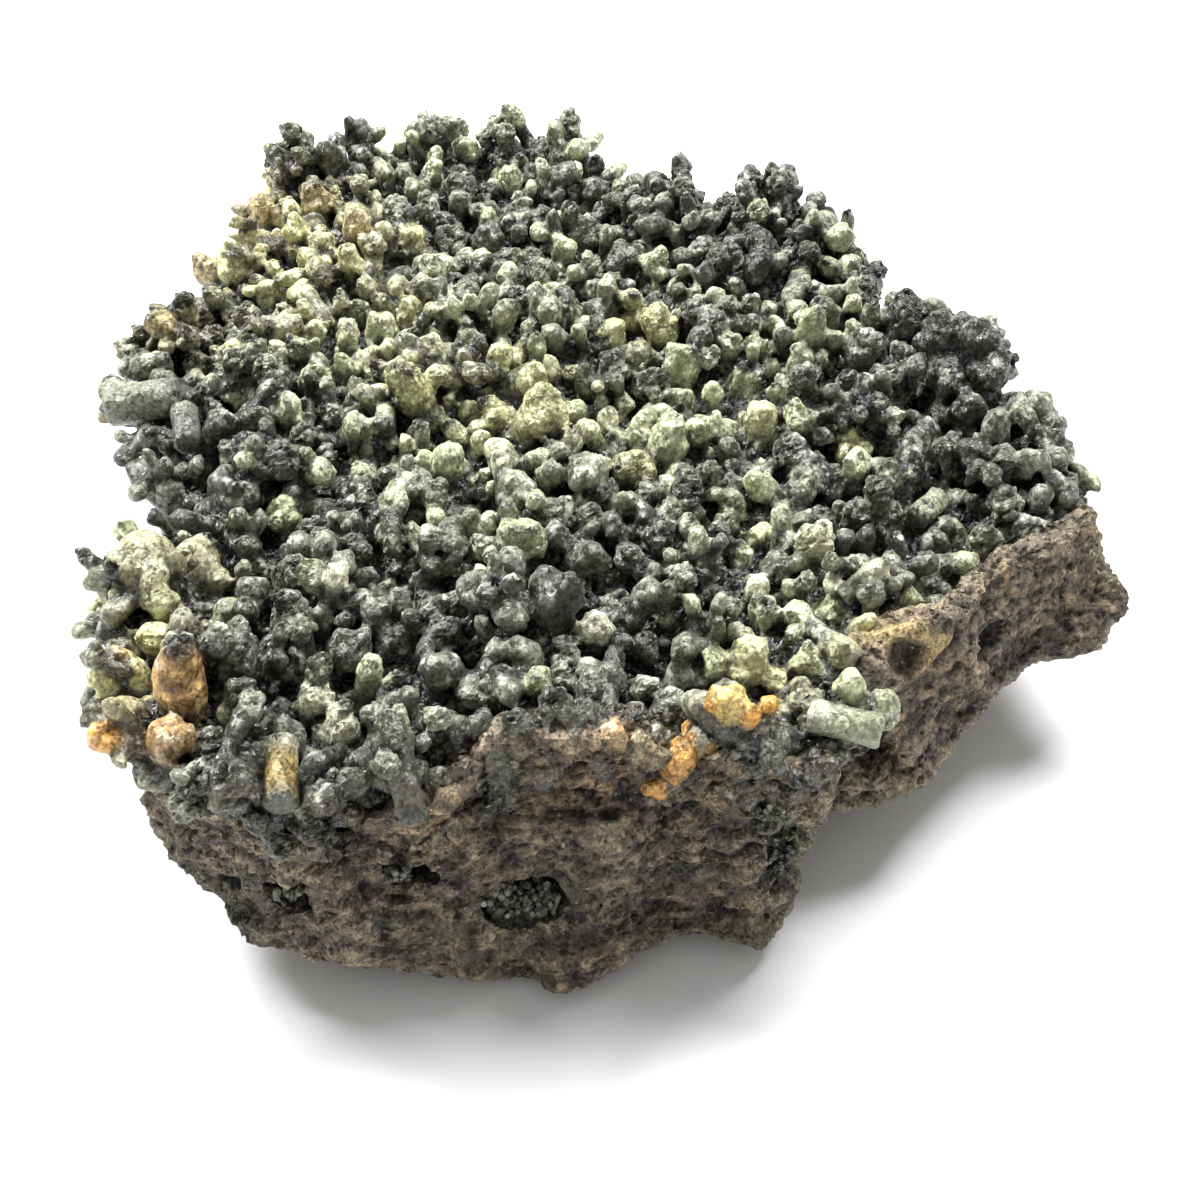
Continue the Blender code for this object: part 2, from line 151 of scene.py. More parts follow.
# Broad patches of the druse, as pixels of the photograph: x, y, radius, strength.
PALE_PATCHES = (
    (300, 240, 110, 0.45), (420, 390, 110, 0.30), (480, 190, 90, 0.15),
    (660, 350, 120, 0.35), (470, 480, 90, 0.25), (660, 450, 60, 0.35),
    (770, 600, 80, 0.30), (840, 640, 70, 0.35), (170, 590, 70, 0.50),
    (330, 710, 50, 0.25), (820, 330, 70, 0.20),
)
DARK_PATCHES = (
    (730, 220, 90, 0.45), (945, 370, 90, 0.45), (1010, 460, 80, 0.35),
    (240, 480, 90, 0.35), (620, 660, 110, 0.45), (440, 680, 90, 0.35),
    (350, 610, 70, 0.25), (870, 540, 70, 0.30), (300, 150, 60, 0.35),
    (560, 600, 50, 0.40), (180, 440, 50, 0.40), (700, 480, 50, 0.25),
    (270, 780, 90, 0.80), (120, 500, 50, 0.20), (640, 560, 60, 0.20),
    (880, 700, 50, 0.25),
)
TAN_PATCHES = (
    (290, 230, 95, 0.75), (180, 330, 60, 0.55), (150, 620, 60, 0.45),
    (150, 700, 60, 0.70), (420, 380, 70, 0.25), (540, 400, 60, 0.25),
    (640, 330, 40, 0.30), (760, 700, 50, 0.50), (900, 650, 60, 0.60),
)

# Brown dust on the front edge of the druse, in the same way.
DUST = (
    (150, 775, 45, 0.6), (225, 800, 45, 0.7), (305, 820, 45, 0.8),
    (400, 800, 45, 0.7), (470, 775, 40, 0.6), (560, 745, 50, 0.6),
    (620, 765, 40, 0.5), (700, 800, 40, 0.5),
)

# Knobs that the eye picks out, one to a line: pixel x, y and half width, colour name,
# lean in pixels (x, y) from foot to head, and a shape name.
NAMED_KNOBS = """
130 402 25 wax -40 0 smooth
100 426 12 tan -30 5 faceted
186 420 15 grey 0 -25 smooth
240 398 14 pale 4 -20 faceted
290 412 15 pale 6 -16 faceted
410 240 18 yellow 4 -20 faceted
410 312 16 yellow 0 -18 faceted
500 355 16 yellow 6 -10 faceted
615 334 14 yellow 0 -10 faceted
636 326 15 yellow 4 -12 faceted
660 328 19 yellow 6 -14 lobed
680 368 22 pale 0 -18 faceted
742 388 22 pale 10 -14 faceted
712 392 12 pale -4 -12 faceted
668 440 22 pale 6 -18 faceted
632 470 20 yellow -4 -14 lobed
596 628 17 cream 6 -22 lobed
758 538 17 yellow 10 -16 faceted
742 556 11 pale -6 -14 lobed
757 586 14 cream 0 -16 faceted
766 615 17 pale 0 -16 lobed
532 378 16 yellow 34 -16 smooth
410 390 24 yellow -10 -16 lobed
540 415 24 yellow 16 -14 lobed
572 410 14 pale 18 -10 lobed
500 418 18 yellow -16 -4 lobed
448 460 20 pale 10 -16 faceted
388 540 14 cream 0 -14 lobed
436 566 15 grey 6 -16 lobed
335 576 13 cream 2 -22 faceted
285 515 18 pale -4 -26 lobed
168 492 14 grey 0 -14 smooth
120 525 14 pale -12 -8 smooth
146 562 37 mound -8 -22 smooth
194 574 36 mound 4 -20 smooth
100 580 15 wax -26 4 faceted
160 600 17 pale -4 -12 lobed
152 640 19 yellow -10 -12 lobed
120 655 12 tan -12 -6 faceted
105 680 15 yellow -18 -6 faceted
138 676 15 yellow -4 -14 faceted
178 682 34 orange_dome -2 -30 smooth
166 744 26 orange_dome -2 -14 smooth
108 738 17 amber -26 2 faceted
216 640 18 grey 4 -14 lobed
238 660 22 grey 8 -16 lobed
313 698 19 cream 0 -20 lobed
342 728 20 cream 6 -14 lobed
322 738 10 cream -6 -8 smooth
223 712 9 pale 2 -10 faceted
370 668 15 pale 4 -14 faceted
352 650 22 grey -10 -16 lobed
395 642 20 grey 10 -10 lobed
540 682 15 pale 2 -14 lobed
556 598 27 slate 4 -26 smooth
596 690 26 grey 4 -20 lobed
500 765 25 grey -2 -14 lobed
616 738 16 salmon 4 -16 lobed
586 724 20 grey -4 -14 lobed
660 782 17 amber -14 16 lobed
700 742 19 amber 20 -20 lobed
680 762 17 amber 8 -8 lobed
733 706 21 honey 0 -14 faceted
750 716 12 amber 6 -8 faceted
716 700 12 amber -6 -8 faceted
722 722 13 amber -6 -4 lobed
770 703 11 amber 4 -10 faceted
775 680 14 yellow 4 -14 faceted
748 662 22 yellow 2 -20 faceted
716 664 16 pale -4 -18 smooth
806 662 15 pale -2 -18 lobed
830 612 19 pale 4 -22 lobed
862 626 14 yellow 22 -12 smooth
852 684 16 pale -6 -14 faceted
832 582 11 cream 0 -14 faceted
872 594 13 grey 0 -12 lobed
912 600 15 pale 16 -6 smooth
968 562 13 pale 14 8 faceted
850 444 22 yellow -6 -22 lobed
856 466 15 pale -8 -6 smooth
926 508 12 grey 12 -12 faceted
760 420 18 yellow 0 -22 faceted
760 486 17 pale -20 -6 smooth
800 418 16 pale -8 -10 lobed
848 488 13 grey -16 -4 smooth
905 322 22 slate 0 -18 lobed
940 336 22 slate 4 -18 lobed
978 338 18 slate 8 -16 lobed
952 378 24 slate 0 -20 lobed
990 372 20 slate 10 -14 lobed
968 408 16 slate 6 -12 lobed
812 330 17 pale 0 -16 faceted
862 350 20 grey 8 -14 lobed
655 262 15 pale 8 -10 lobed
620 258 20 grey -4 -14 lobed
562 248 15 pale 0 -12 faceted
466 152 14 pale 0 -12 faceted
510 182 13 pale 0 -12 faceted
235 268 18 yellow -6 -14 faceted
205 272 15 tan -14 -8 lobed
262 212 16 tan -8 -12 lobed
316 206 18 tan 0 -12 lobed
356 226 15 tan 0 -12 faceted
350 262 14 yellow 0 -12 faceted
268 296 14 pale 0 -12 faceted
346 366 13 pale 0 -12 smooth
160 326 14 tan -10 -10 lobed
600 762 15 rim -4 -10 crumbly
545 770 16 rim -4 -10 crumbly
640 748 14 tan 0 -12 crumbly
520 730 18 grey -4 -12 crumbly
560 715 20 grey 0 -12 crumbly
"""
COLOURS = {
    "wax": (0.26, 0.28, 0.205),
    "tan": (0.29, 0.245, 0.14),
    "grey": (0.13, 0.138, 0.112),
    "slate": (0.076, 0.079, 0.067),
    "pale": (0.35, 0.375, 0.245),
    "yellow": (0.40, 0.40, 0.235),
    "cream": (0.50, 0.50, 0.39),
    "amber": (0.48, 0.245, 0.055),
    "mound": (0.31, 0.295, 0.195),
    "honey": (0.44, 0.33, 0.12),
    "orange_dome": (0.36, 0.235, 0.11),
    "salmon": (0.36, 0.23, 0.12),
    "rim": (0.135, 0.114, 0.084),
}

# Loose-ended columns that lie on the druse: pixel x, y of both ends, half width in
# pixels, how many millimetres lower the second end lies, and the colours of start,
# middle and end.
COLUMNS = (
    (808, 714, 882, 732, 17, 0.5, "cream", "pale", "pale"),
    (280, 738, 281, 808, 17, 2.5, "cream", "honey", "grey"),
    (916, 518, 940, 498, 13, 0.0, "wax", "pale", "wax"),
    (706, 735, 665, 778, 15, 4.0, "cream", "honey", "amber"),
    (510, 388, 554, 366, 15, 0.0, "wax", "yellow", "yellow"),
    (182, 396, 106, 408, 20, 0.5, "grey", "wax", "wax"),
    (188, 445, 184, 410, 14, 0.0, "grey", "grey", "wax"),
)
COLUMN_SIDES = 18
# A column's rings: share of its length, share of its half width, and which colour.
COLUMN_RINGS = (
    (0.0, 0.15, 0), (0.0, 0.80, 0), (0.05, 0.98, 0), (0.35, 1.0, 1),
    (0.65, 0.97, 1), (0.95, 1.0, 2), (1.0, 0.84, 2), (0.93, 0.15, 2),
)


def unit(v):
    v = np.asarray(v, float)
    return v / np.maximum(np.linalg.norm(v, axis=-1, keepdims=True), 1e-9)


def smooth_step(low, high, x):
    t = np.clip((x - low) / (high - low), 0, 1)
    return t * t * (3 - 2 * t)


def mix(a, b, share):
    share = np.asarray(share)[..., None]
    return np.asarray(a) * (1 - share) + np.asarray(b) * share


# The camera as numbers, to find where a pixel of the photograph lies on the solids.
FOCAL = SIDE / 2 / math.tan(math.radians(CAMERA_FIELD / 2))
DOWN = math.radians(CAMERA_DOWN)
AHEAD = np.array([0, math.cos(DOWN), -math.sin(DOWN)])
ABOVE = np.array([0, math.sin(DOWN), math.cos(DOWN)])


def pixel_ray(u, v):
    across, up = (u - SIDE / 2) / FOCAL, (SIDE / 2 - v) / FOCAL
    return unit(AHEAD + np.array([across, 0, 0]) + up * ABOVE)


def pixel_at_height(u, v, z):
    ray = pixel_ray(u, v)
    return CAMERA_AT + ray * (z - CAMERA_AT[2]) / ray[2]


def pixels_of(points):
    away = points - CAMERA_AT
    depth = away @ AHEAD
    u = SIDE / 2 + FOCAL * away[:, 0] / depth
    v = SIDE / 2 - FOCAL * (away @ ABOVE) / depth
    return np.stack([u, v], axis=1)


# Noise on whole arrays of points. A salt keeps one use of it apart from the others.
def hashed(cell, salt):
    """A repeatable random number from 0 to 1 for each whole-number place."""
    x, y, z = cell[..., 0], cell[..., 1], cell[..., 2]
    h = (x * 374761393 + y * 668265263 + z * 974634777 + salt * 362437) & 0xFFFFFFFF
    h = ((h ^ (h >> 13)) * 1274126177) & 0xFFFFFFFF
    h = ((h ^ (h >> 16)) * 2246822519) & 0xFFFFFFFF
    return (h ^ (h >> 13)) / 4294967295.0


def soft_noise(points, scale, salt):
    """Smooth noise from -1 to 1."""
    q = np.asarray(points) / scale
    cell = np.floor(q).astype(np.int64)
    t = q - cell
    w = t * t * t * (t * (6 * t - 15) + 10)
    total = np.zeros(q.shape[:-1])
    for corner in np.ndindex(2, 2, 2):
        c = np.array(corner)
        share = np.prod(np.where(c == 1, w, 1 - w), axis=-1)
        total += share * hashed(cell + c, salt)
    return 2 * total - 1


def drift(points, scale, salt):
    """A smooth shift for each point."""
    return np.stack([soft_noise(points, scale, salt + k) for k in range(3)], axis=1)


def layered_noise(points, scale, salt):
    total, height = 0.0, 1.0
    for layer in range(3):
        total = total + height * soft_noise(points, scale / 2**layer, salt + layer)
        height *= 0.55
    return total


def grains(points, scale, salt):
    """For each point: distance to the nearest scattered centre, a number of its own,
    and a height that makes the grain one flat, tilted face."""
    q = np.asarray(points) / scale
    cell = np.floor(q).astype(np.int64)
    near = np.full(len(q), 9.0)
    name = np.zeros(len(q))
    tilt = np.zeros(len(q))
    for corner in np.ndindex(3, 3, 3):
        place = cell + np.array(corner) - 1
        spot = np.stack([hashed(place, salt + k) for k in range(3)], axis=1)
        away = q - place - spot
        gap = np.linalg.norm(away, axis=1)
        closer = gap < near
        own = hashed(place, salt + 7)
        turn = np.stack([own * 2 - 1, spot[:, 0] * 2 - 1, spot[:, 1] * 2 - 1], axis=1)
        tilt = np.where(closer, np.einsum("ij,ij->i", away, unit(turn)), tilt)
        name = np.where(closer, own, name)
        near = np.where(closer, gap, near)
    return near, name, tilt


# Meshes.
def arrays_of(obj):
    """The vertices in millimetres and the triangles of an object as it stands."""
    used = obj.evaluated_get(bpy.context.evaluated_depsgraph_get())
    mesh = used.to_mesh()
    mesh.calc_loop_triangles()
    verts = np.empty(len(mesh.vertices) * 3)
    mesh.vertices.foreach_get("co", verts)
    tris = np.empty(len(mesh.loop_triangles) * 3, np.int32)
    mesh.loop_triangles.foreach_get("vertices", tris)
    used.to_mesh_clear()
    return verts.reshape(-1, 3) / MM, tris.reshape(-1, 3)


def face_normals(verts, tris):
    a, b, c = (verts[tris[:, k]] for k in range(3))
    return np.cross(b - a, c - a)


def vert_normals(verts, tris):
    faces = face_normals(verts, tris)
    total = np.zeros((len(verts), 3))
    for axis in range(3):
        for k in range(3):
            total[:, axis] += np.bincount(tris[:, k], faces[:, axis], len(verts))
    return unit(total)


def hollowness(verts, tris, normals, rounds):
    """How far each place lies below (above 0) or above its smoothed surroundings."""
    start = np.concatenate([tris[:, k] for k in range(3)])
    end = np.concatenate([tris[:, (k + 1) % 3] for k in range(3)])
    count = np.maximum(np.bincount(start, minlength=len(verts)), 1)
    even = verts.copy()
    for _ in range(rounds):
        for axis in range(3):
            even[:, axis] = np.bincount(start, even[end, axis], len(verts)) / count
    return np.einsum("ij,ij->i", even - verts, normals)


def cavity_shade(verts, tris, depth):
    """A factor of painted shade and painted light: darker creases and gaps, lighter crests and
    edges.
    """
    normals = vert_normals(verts, tris)
    fine = hollowness(verts, tris, normals, 4)
    broad = hollowness(verts, tris, normals, 36)
    creases = 1 - 0.5 * smooth_step(0.02, 0.28, fine)
    gaps = 1 - depth * smooth_step(-0.15, 1.1, broad)
    crests = 1 + 0.25 * smooth_step(0.1, 0.8, -broad)
    edges = 1 + 0.25 * smooth_step(0.02, 0.22, -fine)
    return creases * gaps * crests * edges


def without_hidden(verts, tris, facing, is_hidden):
    """The triangles that aren't hidden, and which places are. Only facing ones can be."""
    hidden = np.zeros(len(verts), bool)
    hidden[facing] = [is_hidden(v) for v in verts[facing]]
    return tris[~np.all(hidden[tris], axis=1)], hidden


def ring_points(turn, wide, height, shift=(0, 0)):
    x, y = wide * np.cos(turn) + shift[0], wide * np.sin(turn) + shift[1]
    return np.stack([x, y, np.full(len(turn), height)], axis=1)


def tube_faces(sides, rings, first_cap=True):
    """The triangles of rings that go up an axis, with a flat cap at each end."""
    faces = []
    top = (rings - 1) * sides
    for low in range(0, top, sides):
        for k in range(sides):
            a, b = low + k, low + (k + 1) % sides
            faces += [(a, b, a + sides), (b, b + sides, a + sides)]
    if first_cap:
        faces += [(0, k + 1, k) for k in range(1, sides - 1)]
    faces += [(top, top + k, top + k + 1) for k in range(1, sides - 1)]
    return np.array(faces)


def raw_mesh(name, verts, tris):
    mesh = bpy.data.meshes.new(name)
    mesh.vertices.add(len(verts))
    mesh.vertices.foreach_set("co", (verts * MM).astype(np.float32).ravel())
    mesh.loops.add(3 * len(tris))
    mesh.loops.foreach_set("vertex_index", tris.astype(np.int32).ravel())
    mesh.polygons.add(len(tris))
    mesh.polygons.foreach_set("loop_start", np.arange(0, 3 * len(tris), 3, dtype=np.int32))
    mesh.update(calc_edges=True)
    return mesh


def put(name, data):
    """A new object in the scene."""
    obj = bpy.data.objects.new(name, data)
    bpy.context.scene.collection.objects.link(obj)
    return obj


def even_skin(verts, tris, voxel):
    """One even, fine skin around all the solids of a mesh."""
    obj = put("rough", raw_mesh("rough", verts, tris))
    modifier = obj.modifiers.new("skin", "REMESH")
    modifier.mode = "VOXEL"
    modifier.voxel_size = voxel * MM
    skin = arrays_of(obj)
    mesh = obj.data
    bpy.data.objects.remove(obj)
    bpy.data.meshes.remove(mesh)
    return skin


def piece(name, verts, tris, tint, smooth, material, slot):
    """One piece of the specimen, with its colours at its vertices."""
    used, places = np.unique(tris, return_inverse=True)
    mesh = raw_mesh(name, verts[used], places.reshape(-1, 3))
    flags = np.broadcast_to(smooth, len(tris)).astype(bool)
    mesh.polygons.foreach_set("use_smooth", flags)
    colours = mesh.color_attributes.new("tint", "FLOAT_COLOR", "POINT")
    rgba = np.column_stack([np.clip(tint[used], 0, 1), np.ones(len(used))])
    colours.data.foreach_set("color", rgba.astype(np.float32).ravel())
    mesh.update()
    mesh.materials.append(material)
    obj = put(name, mesh)
    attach(obj, "root")
    return obj


class Heap:
    """Many small solids gathered into one mesh."""

    def __init__(self):
        self.verts, self.tris, self.count = [], [], 0

    def add(self, verts, tris):
        self.verts.append(verts)
        self.tris.append(tris + self.count)
        self.count += len(verts)

    def arrays(self):
        return np.concatenate(self.verts), np.concatenate(self.tris)


# Knobs.
def ball(level):
    bm = bmesh.new()
    bmesh.ops.create_icosphere(bm, subdivisions=level, radius=1.0)
    verts = unit([v.co[:] for v in bm.verts])
    tris = np.array([[v.index for v in f.verts] for f in bm.faces])
    bm.free()
    return verts, tris


def lobed_reach(dirs, rng, lobes, low):
    """How far a cluster of fused lobes reaches in each direction."""
    reach = np.full(len(dirs), low)
    for _ in range(lobes):
        centre = unit(rng.normal(size=3)) * rng.uniform(0.40, 0.66)
        away = np.linalg.norm(centre)
        radius = away + rng.uniform(-0.02, 0.12)
        along = dirs @ centre
        inside = np.maximum(along**2 + radius**2 - away**2, 0)
        reach = np.maximum(reach, np.where(along > 0, along + np.sqrt(inside), 0))
    return reach


def cut_reach(dirs, reach, ways, heights):
    """The same, cut by flat crystal faces."""
    for way, height in zip(ways, heights):
        facing = dirs @ unit(way)
        reach = np.minimum(reach, np.where(facing > 0.05, height / np.maximum(facing, 0.05), 9.0))
    return reach


def barrel_ways(rng):
    """The faces of a short barrel: a top, and six sides that lean a little."""
    ways = [rng.normal(size=3) * 0.16 + (0, 0, 1)]
    start = rng.uniform(0, 1)
    for k in range(6):
        turn = start + k * math.pi / 3 + rng.normal() * 0.14
        ways.append((math.cos(turn), math.sin(turn), rng.uniform(-0.15, 0.45)))
    return ways


def head_shape(kind, dirs, rng):
    if kind == "smooth":
        reach = lobed_reach(dirs, rng, 4, 0.80)
        ways = rng.normal(size=(4, 3))
        return cut_reach(dirs, reach, ways, rng.uniform(0.84, 0.98, 4))
    if kind == "faceted":
        reach = np.full(len(dirs), 1.08)
        ways = barrel_ways(rng) + list(rng.normal(size=(5, 3)))
        heights = np.concatenate([rng.uniform(0.70, 0.90, 7), rng.uniform(0.80, 1.0, 5)])
        return cut_reach(dirs, reach, ways, heights)
    reach = lobed_reach(dirs, rng, 9 if kind == "lobed" else 16, 0.60)
    return cut_reach(dirs, reach, rng.normal(size=(7, 3)), rng.uniform(0.74, 1.0, 7))


def frame_along(direction, turn):
    """Three axes, the last along a direction, turned about it."""
    z = unit(direction)
    side = np.array([1.0, 0, 0]) if abs(z[0]) < 0.8 else np.array([0, 1.0, 0])
    x = unit(np.cross(side, z))
    y = np.cross(z, x)
    x2 = math.cos(turn) * x + math.sin(turn) * y
    return np.stack([x2, np.cross(z, x2), z])


class Growth:
    """All the knobs: their solids, balls that tell which knob a place of the skin
    belongs to, and each knob's row of values."""

    def __init__(self, rng):
        self.rng = rng
        self.heap = Heap()
        self.balls, self.knobs = [], []
        self.stock = {}
        for level in (2, 3):
            dirs, tris = ball(level)
            for kind in ROUGH:
                shapes = [head_shape(kind, dirs, rng) for _ in range(HEADS_IN_STOCK)]
                self.stock[kind, level] = (dirs, tris, shapes)

    def head(self, at, axes, radius, kind, stretch):
        level = 3 if radius > FINE_HEAD else 2
        dirs, tris, shapes = self.stock[kind, level]
        reach = shapes[self.rng.integers(len(shapes))]
        wide = np.array([1, self.rng.uniform(0.82, 1), stretch])
        self.heap.add(at + (dirs * reach[:, None] * radius * wide) @ axes, tris)

    def stalk(self, at, axes, radius, length, thin):
        """A stalk that narrows and bends on its way down; returns its rings' centres."""
        rng, sides, rings = self.rng, 8, 4
        turn = np.linspace(0, 2 * math.pi, sides, endpoint=False)
        oval = 0.12 * np.cos(2 * turn + rng.uniform(0, 6))
        wobble = 1 + oval + 0.07 * np.cos(3 * turn + rng.uniform(0, 6))
        bend = rng.uniform(-0.14, 0.14, 2) * length
        verts, centres = [], []
        for ring in range(rings):
            down = ring / (rings - 1)
            narrowed = math.sin(min(1, down * 1.4) * math.pi / 2)
            wide = radius * (0.88 - (0.88 - thin) * narrowed) * wobble
            shift = bend * down**2
            verts.append(at + ring_points(turn, wide, -length * down, shift) @ axes)
            centres.append(at + np.array([shift[0], shift[1], -length * down]) @ axes)
        self.heap.add(np.concatenate(verts), tube_faces(sides, rings)[:, [0, 2, 1]])
        return centres

    def add(self, at, direction, radius, length, kind, colour, foot, rough, mates=0):
        """A head on a stalk that is rooted in the crust, with smaller heads beside it."""
        rng = self.rng
        axes = frame_along(direction, rng.uniform(0, 2 * math.pi))
        thin = rng.uniform(0.58, 0.86)
        self.head(at, axes, radius, kind, rng.uniform(0.95, 1.55))
        centres = self.stalk(at, axes, radius, length, thin)
        number = len(self.knobs)
        self.knobs.append((*at, *axes[2], radius, *colour, *foot, rough))
        self.balls.append((*at, radius, number))
        for step, centre in enumerate(centres[1:]):
            self.balls.append((*centre, radius * (0.80 - 0.06 * step), number))
        for _ in range(mates):
            out = unit(rng.normal(size=3) * (1, 1, 0.55) + (0, 0, 0.15)) @ axes
            small = radius * rng.uniform(0.45, 0.72)
            place = at + out * radius * rng.uniform(0.45, 0.78)
            self.head(place, frame_along(out + direction, 0), small, kind, 1.0)
            self.balls.append((*place, small, number))


class Druse:
    """Where the knobs stand, worked out on the solids of the frame."""

    def __init__(self):
        self.verts, self.tris = arrays_of(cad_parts["prehnite_druse"])
        rock_verts, rock_tris = arrays_of(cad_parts["matrix"])
        self.skin = BVHTree.FromPolygons(self.verts.tolist(), self.tris.tolist())
        self.rock_skin = rock_verts, rock_tris
        self.rock = BVHTree.FromPolygons(rock_verts.tolist(), rock_tris.tolist())
        self.low = self.low_map()
        self.core = self.sunk_core()

    def low_map(self):
        """Height of the crust between the lumps, on a coarse grid in plan."""
        normals = face_normals(self.verts, self.tris)
        tops = self.verts[np.unique(self.tris[normals[:, 2] > 0.2])]
        xs = np.arange(-MAP_HALF, MAP_HALF + 1, MAP_STEP)
        heights = np.zeros((len(xs), len(xs)))
        for i, x in enumerate(xs):
            for j, y in enumerate(xs):
                gap = (tops[:, 0] - x) ** 2 + (tops[:, 1] - y) ** 2
                near = tops[np.argsort(gap)[:40], 2]
                heights[i, j] = np.percentile(near, 12)
        return heights

    def crust(self, points):
        """Height of the crust under each point, from the map."""
        q = np.clip((points[:, :2] + MAP_HALF) / MAP_STEP, 0, MAP_END)
        cell = q.astype(int)
        t = q - cell
        i, j = cell[:, 0], cell[:, 1]
        m = self.low
        a = m[i, j] * (1 - t[:, 0]) + m[i + 1, j] * t[:, 0]
        b = m[i, j + 1] * (1 - t[:, 0]) + m[i + 1, j + 1] * t[:, 0]
        return a * (1 - t[:, 1]) + b * t[:, 1]

    def sunk_core(self):
        """The crust that the knobs grow from: the solid, let down away from the seam."""
        verts, tris = even_skin(self.verts, self.tris, CORE_VOXEL)
        normals = vert_normals(verts, tris)
        low = self.crust(verts)
        above = verts[:, 2] > low
        verts[above, 2] = low[above] + LUMP_KEPT * (verts[above, 2] - low[above])
        far = 3.0
        found = [self.rock.find_nearest(Vector(v), far) for v in verts.tolist()]
        gap = np.array([far if place is None else away for place, _, _, away in found])
        sunk = CORE_SUNK * np.clip(normals[:, 2] + 0.7, 0.25, 1) * smooth_step(0.8, far, gap)
        return verts - normals * sunk[:, None], tris

    def on_underside(self, place):
        """Whether the nearest part of the druse is its hidden face against the rock."""
        spot, normal, _, gap = self.skin.find_nearest(Vector(place))
        return gap < 4 and normal.z < -0.5 and self.rock.find_nearest(spot, 0.8)[0] is not None

    def covers(self, place):
        """Whether a place on the rock lies under the druse."""
        return self.skin.find_nearest(Vector(place))[3] < 1.2 and self.on_underside(place)

    def is_outer(self, point, normal):
        """Whether a steep face looks out over the rim, with no druse ahead of it."""
        steep = math.hypot(normal[0], normal[1])
        if steep <= 0.3:
            return False
        ahead = Vector((normal[0] / steep, normal[1] / steep, 0))
        return self.skin.ray_cast(Vector(point + 0.6 * normal), ahead, 22)[0] is None

    def places(self, count, rng, source, near_rock=False):
        """Random places on a skin, each with its normal and whether it faces out."""
        verts, tris = source
        normals = face_normals(verts, tris)
        area = np.linalg.norm(normals, axis=1)
        normals = unit(normals)
        share = area * (normals[:, 2] > -0.55)
        picked = rng.choice(len(area), count, p=share / share.sum())
        a, b = rng.random(count), rng.random(count)
        flip = a + b > 1
        a, b = np.where(flip, 1 - a, a), np.where(flip, 1 - b, b)
        first, second, third = (verts[tris[picked, k]] for k in range(3))
        points = first + a[:, None] * (second - first) + b[:, None] * (third - first)
        found = []
        for point, normal in zip(points, normals[picked]):
            near = self.rock.find_nearest(Vector(point), 1.4)[0] is not None
            if near_rock or not near or normal[2] >= 0.85:
                found.append((point, normal, self.is_outer(point, normal)))
        return found


def growth_way(rng, normal, outer):
    if outer:
        return unit(normal + np.array([0, 0, 0.3]) + rng.normal(size=3) * 0.25)
    spread = rng.normal(size=3) * (0.85 if rng.random() < 0.30 else 0.36)
    return unit(np.array([0, 0, 1.0]) + 0.45 * normal + spread)


class Spots:
    """Taken places, kept in a grid so that near ones are found fast."""

    def __init__(self, step):
        self.step, self.grid = step, {}

    def key(self, p):
        return tuple(int(math.floor(c / self.step)) for c in p)

    def free(self, p, radius, closeness):
        i, j, k = self.key(p)
        for shift in np.ndindex(3, 3, 3):
            cell = (i + shift[0] - 1, j + shift[1] - 1, k + shift[2] - 1)
            for q, r in self.grid.get(cell, ()):
                if math.dist(p, q) < closeness * (radius + r):
                    return False
        return True

    def take(self, p, radius):
        self.grid.setdefault(self.key(p), []).append((tuple(p), radius))


class Shield:
    """Keeps other knobs from standing in front of the named ones."""

    def __init__(self):
        self.seen = []

    def add(self, at, radius):
        depth = (at - CAMERA_AT) @ AHEAD
        self.seen.append((*pixels_of(at[None])[0], radius * FOCAL / depth, depth))
        self.array = np.array(self.seen)

    def hides(self, at, radius):
        depth = (at - CAMERA_AT) @ AHEAD
        u, v = pixels_of(at[None])[0]
        half = radius * FOCAL / depth
        gap = np.hypot(self.array[:, 0] - u, self.array[:, 1] - v)
        close = gap < 0.85 * self.array[:, 2] + 1.0 * half
        return bool(np.any(close & (depth < self.array[:, 3] + 1.5)))


def patch_sum(pixels, patches):
    """How strongly each pixel lies in round, soft patches."""
    total = np.zeros(len(pixels))
    for u, v, radius, strength in patches:
        gap = (pixels[:, 0] - u) ** 2 + (1.25 * (pixels[:, 1] - v)) ** 2
        total += strength * np.exp(-gap / radius**2)
    return total


def patch_share(pixels, patches):
    return np.clip(patch_sum(pixels, patches), 0, 1)


def knob_colour(rng, at):
    """A head's colour, from the broad patches that it stands in and from chance."""
    point = pixels_of(at[None])
    pale = 0.30 + patch_sum(point, PALE_PATCHES)[0] - patch_sum(point, DARK_PATCHES)[0]
    pale += 0.30 * float(soft_noise(at, 10.0, 400))
    pale = float(np.clip(pale + rng.normal() * 0.27, 0.0, 1.0))
    tan = float(np.clip(patch_sum(point, TAN_PATCHES)[0] * rng.uniform(0.4, 1.3), 0, 1))
    bright = mix(PALE, CREAM, rng.random() * 0.7)
    colour = mix(GREY * rng.uniform(0.5, 1.5), bright, smooth_step(0.15, 0.95, pale))
    return mix(colour, TAN * (0.5 + 0.9 * pale), 0.65 * tan), pale


def foot_colour(rng, colour):
    return mix(STALK, colour, rng.uniform(0.02, 0.30)) * rng.uniform(0.55, 1.35)


